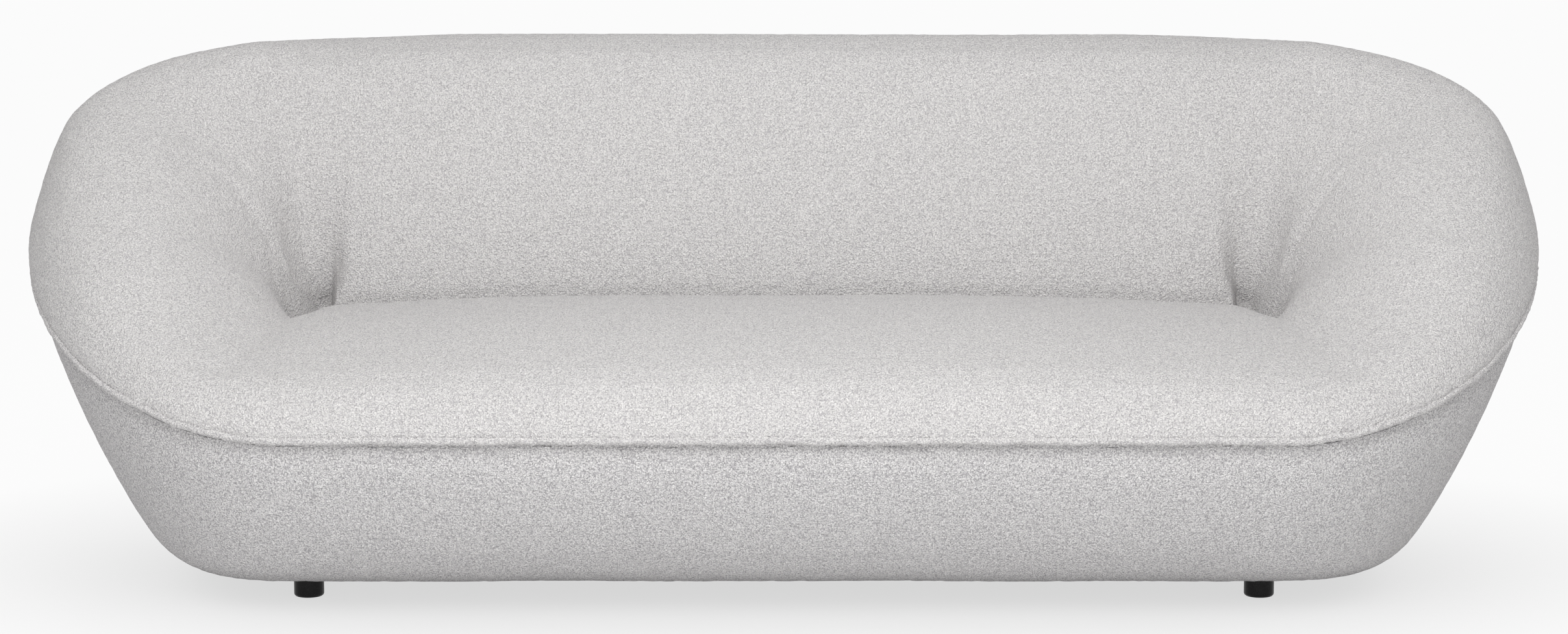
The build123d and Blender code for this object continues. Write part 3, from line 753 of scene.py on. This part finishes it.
def blown_out(grid):
    """How far the filling's pressure lifts each point of a grid held along its two edges."""
    rows, columns, _ = grid.shape
    points = grid.reshape(-1, 3)
    mesh = bpy.data.meshes.new("cloth_trial")
    mesh.from_pydata(points, [], loop_faces(rows, columns).tolist())
    trial = bpy.data.objects.new("cloth_trial", mesh)
    scene = bpy.context.scene
    scene.collection.objects.link(trial)
    held = np.arange(rows * columns).reshape(rows, columns)[:, (0, 1, -2, -1)].ravel()
    trial.vertex_groups.new(name="held").add(held.tolist(), 1.0, "REPLACE")
    cover = trial.modifiers.new("cover", "CLOTH")
    cover.settings.vertex_group_mass = "held"
    cover.settings.quality = SWELL_QUALITY
    cover.settings.use_pressure = True
    cover.settings.uniform_pressure_force = SWELL_PRESSURE
    cover.settings.effector_weights.gravity = 0.0
    cover.collision_settings.use_collision = False
    cover.point_cache.frame_start = 1
    cover.point_cache.frame_end = SWELL_FRAMES
    for moment in range(1, SWELL_FRAMES + 1):
        scene.frame_set(moment)
    seen = trial.evaluated_get(bpy.context.evaluated_depsgraph_get())
    moved = np.empty(rows * columns * 3, np.float32)
    seen.data.vertices.foreach_get("co", moved)
    scene.frame_set(1)
    bpy.data.objects.remove(trial)
    bpy.data.meshes.remove(mesh)
    lift = ((moved.reshape(-1, 3) - points).reshape(grid.shape) * grid_normals(grid)).sum(2)
    return SWELL * np.tanh(np.maximum(lift, 0) / SWELL)


def swelling(line, count, ends):
    """Swelling of the cloth at each point of its fine grid, from a coarse simulation."""
    coarse, stops = loop_grid(line, SWELL_STEP, count // SWELL_COARSER)
    lift = blown_out(pocket_pull(coarse))
    lift = np.concatenate([lift, lift[:1]])
    at = np.interp(np.arange(ends[-1]), ends, stops)
    first = np.minimum(np.floor(at).astype(int), stops[-1] - 1)
    part = (at - first)[:, None]
    rows = lift[first] * (1 - part) + lift[first + 1] * part
    place = np.linspace(0, rows.shape[1] - 1, count)
    low = np.minimum(np.floor(place).astype(int), rows.shape[1] - 2)
    part = place - low
    return rows[:, low] * (1 - part) + rows[:, low + 1] * part


def cloth_skin(grid, ends, from_cord, from_pole, lip, bulge, swell):
    """The grid with its swelling, the lip or groove beside the cord, sewn seams and loops."""
    normal = grid_normals(grid)
    fades = np.exp(-(np.maximum(from_cord - LIP_FULL, 0) / LIP_REACH) ** 2)
    edge = smooth(from_cord / LIP_BEGINS) * fades
    edge = edge * (1 + LIP_UNEVEN * soft_noise(grid, LIP_LUMP, LIP_SEED))
    roll = from_cord / BULGE_REACH * np.exp(1 - from_cord / BULGE_REACH)
    grid = grid + normal * (lip[:, None] * edge + bulge[:, None] * roll + swell)[..., None]
    seam = np.zeros(len(grid))
    for station in ends[:-1]:
        away = from_station(len(grid), station, CLOTH_STEP)
        seam += GROOVE * np.exp(-(away / GROOVE_WIDTH) ** 2)
    loops = NAP * soft_noise(grid, NAP_SIZE, LOOP_SEED)
    lumps = LUMP * soft_noise(grid, LUMP_SIZE, LUMP_SEED)
    fade = np.clip(from_pole / NAP_FROM_POLE, 0, 1) * np.clip(from_cord / NAP_FROM_CORD, 0, 1)
    sewn = seam[:, None] * np.clip(from_pole / GROOVE_FROM_POLE, 0, 1)
    height = (loops + lumps) * fade - sewn
    return grid + normal * height[..., None]


def covers(name, grid, ends, stuff, names, replaced):
    """Four closed pieces of cloth cut from one grid at the seams."""
    normals = grid_normals(grid)
    inner = grid - normals * COVER_THICKNESS
    for number, (part, node) in enumerate(zip(names, replaced)):
        outside, inside, ways = (stretch(each, ends, number) for each in (grid, inner, normals))
        piece = shell(f"{name}_{part}", outside, inside, stuff, INSIDE_SKIP, ways)
        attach(piece, "root")
        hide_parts(node)


def upper_upholstery():
    """Cloth of the ring."""
    count = round(RING_LENGTH / CLOTH_STEP)
    grid, ends = loop_grid(ring_line, CLOTH_STEP, count)
    angles = station_angles(grid)
    from_cord = along_lines(grid)
    from_pole = from_cord[:, -1:] - from_cord
    grid = pocket_pull(slanted(grid, ends))
    swell = swelling(ring_line, count, ends)
    skin = cloth_skin(grid, ends, from_cord, from_pole, keyed(angles, LIP), keyed(angles, BULGE),
                      swell)
    covers("upholstery", skin, ends, cloth, ("seat", "arm_right", "back", "arm_left"),
           ("seat_cover", "arm_cover_right", "back_cover", "arm_cover_left"))


def lower_upholstery():
    """Cloth of the tub."""
    count = round(TUB_LENGTH / CLOTH_STEP)
    grid, ends = loop_grid(tub_line, CLOTH_STEP, count)
    lip = np.full(len(grid), -TUB_GROOVE)
    from_edge = along_lines(grid)
    from_cord = from_edge[:, -1:] - from_edge
    grid = slanted(grid, ends)
    swell = swelling(tub_line, count, ends)
    skin = cloth_skin(grid, ends, from_cord, from_edge, lip, 0 * lip, swell)
    covers("tub_upholstery", skin, ends, tub_cloth_painted_light, ("front", "right", "back", "left"),
           ("tub_cover_front", "tub_cover_right", "tub_cover_back", "tub_cover_left"))


def welt():
    """Covered cord, sewn a little unevenly between the two covers."""
    grid, _ = loop_grid(cord_line, CLOTH_STEP, WELT_SIDES + 1)
    grid = grid[:, :-1]
    centre = grid.mean(1, keepdims=True)
    uneven = CORD_UNEVEN * soft_noise(grid, CORD_LUMP, CORD_SEED)
    grid = grid + (grid - centre) * uneven[..., None]
    wave = WAVE * soft_noise(centre, WAVE_SIZE, WAVE_SEED)
    wave = wave + RIPPLE * soft_noise(centre, RIPPLE_SIZE, RIPPLE_SEED)
    grid = grid + np.array([0, 0, 1]) * wave[..., None]
    faces = loop_faces(len(grid), WELT_SIDES, tube=True)
    piece = new_piece("welt_piping", grid.reshape(-1, 3), faces.tolist(), welt_cloth)
    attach(piece, "root")
    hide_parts("welt_cord")


# Soft pieces under the covers

PLATE_GAP = 0.0006           # from the underside of a pocket plate up to the deck's height
DECK_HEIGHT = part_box("pocket_plate_right")[0].z + PLATE_GAP
RIM_BOARD_INNER = POCKET_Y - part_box("rim_board_front")[1].y
FOAM_MARGIN = 0.003          # room between a cover and what it lies on
FOLD_CLEAR = 0.030           # the foam stays clear of the fold in each pocket
WRAP_FOLLOWS = (0, 0.7, 0)   # how far the underside of the foam goes with its top
WADDING_LENGTH = 0.50        # about what a line of the wadding measures
DUST_SAG = 0.004
DUST_ANGLES = 181
DUST_COLUMNS = 121
DUST_ROWS = 41
DUST_REACH = 0.9995          # the sheet stops just short of its outermost point


def soft_stretch(name, outer, inner, ends, number, stuff, node):
    """One soft piece between two grids."""
    piece = shell(name, stretch(outer, ends, number), stretch(inner, ends, number), stuff)
    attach(piece, "root")
    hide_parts(node)


def foam_line(depth):
    """Line of the ring at a depth below its cover, for a grid."""
    return lambda angle, lift: ring_section(angle, lift, depth)


def wadding_line(depth):
    """Line of the tub at a depth inside its cover, for a grid."""
    return lambda angle, lift: tub_section(angle, depth)


def seat_underside(angle, lift):
    """Underside of the seat block: on the rim board, down its inner edge and along the deck."""
    top = ring_section(angle, lift, FOAM_TOP)
    step = RIM_BOARD_INNER
    board = (step, rim_height(angle, step) + SEAM_ROOM)
    return np.array((top[0], board, (step, DECK_HEIGHT), (top[-1][0], DECK_HEIGHT), top[-1]))


def ring_foam():
    """Foam block of the seat, and the foam wrapped round the arms and the back."""
    count = round(RING_LENGTH / SOFT_STEP)
    outer, ends = loop_grid(foam_line(FOAM_TOP + FOAM_MARGIN), SOFT_STEP, count)
    wrap, _ = loop_grid(foam_line(FOAM_BOTTOM), SOFT_STEP, count)
    block, _ = loop_grid(seat_underside, SOFT_STEP, count)
    pulled = pocket_pull(outer, FOLD_CLEAR)
    wrap = wrap + (pulled - outer) * WRAP_FOLLOWS
    pieces = (
        ("foam_seat_block", block, "seat_foam"),
        ("foam_arm_right_wrap", wrap, "arm_foam_right"),
        ("foam_back_wrap", wrap, "back_foam"),
        ("foam_arm_left_wrap", wrap, "arm_foam_left"),
    )
    for number, (name, under, node) in enumerate(pieces):
        soft_stretch(name, pulled, under, ends, number, foam_stuff, node)


def tub_wadding():
    """Fibre between the tub's boards and its cloth."""
    count = round(WADDING_LENGTH / SOFT_STEP)
    outer, ends = loop_grid(wadding_line(FOAM_TOP + FOAM_MARGIN), SOFT_STEP, count)
    inner, _ = loop_grid(wadding_line(PADDING_BOTTOM), SOFT_STEP, count)
    for number, side in enumerate(("front", "right", "back", "left")):
        soft_stretch(f"wadding_{side}", outer, inner, ends, number, fibre_stuff,
                     f"tub_padding_{side}")


def dust_sheet():
    """Felt stretched under the base, sagging a little between its stapled edges."""
    angles = np.linspace(0, 180, DUST_ANGLES)
    radius = np.array([tub_radius(a) for a in angles]) - DUST_COVER_MARGIN
    turn = np.radians(angles)
    x = POCKET_X + radius * np.sin(turn)
    y = POCKET_Y - radius * np.cos(turn)
    tip = np.argmax(x)
    columns = np.sin(np.linspace(-math.pi / 2, math.pi / 2, DUST_COLUMNS)) * x[tip] * DUST_REACH
    front = np.interp(np.abs(columns), x[:tip + 1], y[:tip + 1], left=y[0])
    back = np.interp(np.abs(columns), x[:tip - 1:-1], y[:tip - 1:-1], left=y[-1])
    share = np.linspace(0, 1, DUST_ROWS)
    grid = np.zeros((len(columns), len(share), 3))
    grid[..., 0] = columns[:, None]
    grid[..., 1] = front[:, None] + (back - front)[:, None] * share
    middle = 4 * share * (1 - share)
    ends_down = 1 - (columns / x[tip]) ** 4
    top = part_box("dust_cover")[1].z
    grid[..., 2] = top - DUST_SAG * middle * ends_down[:, None]
    below = grid - (0, 0, DUST_COVER_THICKNESS)
    piece = shell("dust_sheet", grid, below, felt_stuff)
    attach(piece, "root")
    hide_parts("dust_cover")


upper_upholstery()
lower_upholstery()
welt()
ring_foam()
tub_wadding()
dust_sheet()


# Stage, camera and light

FLOOR_HALF = 45.0
FLOOR_LIT = 0.08             # share of the floor's look that the lights make
FLOOR_PAINTED_SHADOW = 0.28          # how dark its painted soft shadow can get
FLOOR_STOPS = (0.2, 0.8)
FLOOR_DARK, FLOOR_LIGHT = (0.88,) * 3, (0.91,) * 3
SHADOW_REACH = 0.6
SHADOW_SAMPLES = 8
WHITE = (1, 1, 1, 1)
WORLD_LEVEL = 0.59
LIGHTS = (                   # name, place, aim, width, height, watts, spread in degrees
    ("key_soft", (0.0, -2.4, 2.1), (0, 0, 0.4), 2.4, 1.2, 31.0, 180),
    ("top_soft", (0.0, -1.8, 2.8), (0, -0.1, 0.4), 2.4, 1.2, 21.0, 180),
    ("low_soft", (0.0, -3.2, 0.35), (0, -0.4, 0.3), 3.0, 0.4, 5.2, 110),
)


def seen_directly(tree):
    """1 for what the camera sees straight, in a mirror or through a clear piece."""
    path = add(tree, "ShaderNodeLightPath").outputs
    mirrored = maths(tree, "MAXIMUM", path["Is Glossy Ray"], path["Is Transmission Ray"])
    return maths(tree, "MAXIMUM", path["Is Camera Ray"], mirrored)


def mixed(tree, share, first, second, end):
    """Two shaders mixed by a share and led to the node at the end."""
    mix = add(tree, "ShaderNodeMixShader", Fac=share)
    tree.links.new(first.outputs[0], mix.inputs[1])
    tree.links.new(second.outputs[0], mix.inputs[2])
    tree.links.new(mix.outputs[0], tree.nodes[end].inputs["Surface"])


def white_floor(name):
    """Pale floor that looks white, with a soft shadow painted in by ambient occlusion over a small
    share of real light and shadow.
    """
    made, tree, surface = material(name)
    mottle = noise(tree, object_place(tree), Scale=3.0, Detail=3.0)
    tint = ramp(tree, mottle, FLOOR_STOPS, (FLOOR_DARK, FLOOR_LIGHT))
    tree.links.new(tint, surface.inputs["Base Color"])
    surface.inputs["Roughness"].default_value = 0.9
    open_sky = add(tree, "ShaderNodeAmbientOcclusion", {"samples": SHADOW_SAMPLES},
                   Distance=SHADOW_REACH).outputs["AO"]
    # Painted shadow: ambient occlusion dims the white glow that the camera sees
    level = maths(tree, "MULTIPLY_ADD", open_sky, FLOOR_PAINTED_SHADOW, 1 - FLOOR_PAINTED_SHADOW)
    glow = add(tree, "ShaderNodeEmission", Color=WHITE, Strength=level)
    share = maths(tree, "MULTIPLY", seen_directly(tree), 1 - FLOOR_LIT)
    mixed(tree, share, surface, glow, "Material Output")
    return made


def stage():
    """Floor under the sofa."""
    half = FLOOR_HALF
    corners = [(-half, -half, 0), (half, -half, 0), (half, half, 0), (-half, half, 0)]
    floor = new_piece("floor", corners, [(0, 1, 2, 3)], white_floor("floor_white"), rounded=False)


def world():
    """Even light from all round, which looks white."""
    made = bpy.data.worlds.new("studio")
    bpy.context.scene.world = made
    made.use_nodes = True
    tree = made.node_tree
    light = tree.nodes["Background"]
    light.inputs["Color"].default_value = WHITE
    light.inputs["Strength"].default_value = WORLD_LEVEL
    white = add(tree, "ShaderNodeBackground", Color=WHITE, Strength=1.0)
    mixed(tree, seen_directly(tree), light, white, "World Output")


def area_light(name, place, aim, width, height, watts, spread):
    """Soft box that points from its place to its aim."""
    data = bpy.data.lights.new(name, "AREA")
    data.shape = "RECTANGLE"
    data.size, data.size_y = width, height
    data.energy = watts
    data.spread = math.radians(spread)
    lamp = bpy.data.objects.new(name, data)
    bpy.context.scene.collection.objects.link(lamp)
    lamp.location = place
    way = np.array(aim) - np.array(place)
    tilt = math.acos(-way[2] / np.linalg.norm(way))
    lamp.rotation_euler = (tilt, 0, math.atan2(way[1], way[0]) - math.pi / 2)


def camera():
    """Camera where the photograph was taken."""
    data = bpy.data.cameras.new("photo_camera")
    data.sensor_width = SENSOR_WIDTH
    data.lens = SENSOR_WIDTH * FOCAL_PIXELS / PICTURE_WIDTH
    eye = bpy.data.objects.new("photo_camera", data)
    bpy.context.scene.collection.objects.link(eye)
    eye.location = CAMERA_PLACE
    eye.rotation_euler = (math.pi / 2 - CAMERA_PITCH, 0, 0)
    bpy.context.scene.camera = eye


stage()
world()
for light in LIGHTS:
    area_light(*light)
camera()
bpy.context.scene.view_settings.view_transform = "Standard"

# Finish of the rigid pieces, by how their names start
FINISHES = (
    (("foot_front", "foot_back"), plastic_stuff),
    (("foot_screws",), screw_stuff),
    (("seat_springs", "spring_clips"), spring_stuff),
    (("back_webbing",), web_stuff),
    (("base_rail", "end_post", "front_spring", "rear_spring", "tuck_rail", "back_blocking"),
     timber_stuff),
    (("base_board", "rim_board", "front_rib", "back_rib", "end_rib", "pocket_plate"),
     plywood_stuff),
)
for starts, stuff in FINISHES:
    for name, node in nodes.items():
        if name.startswith(starts):
            node.data.materials.clear()
            node.data.materials.append(stuff)
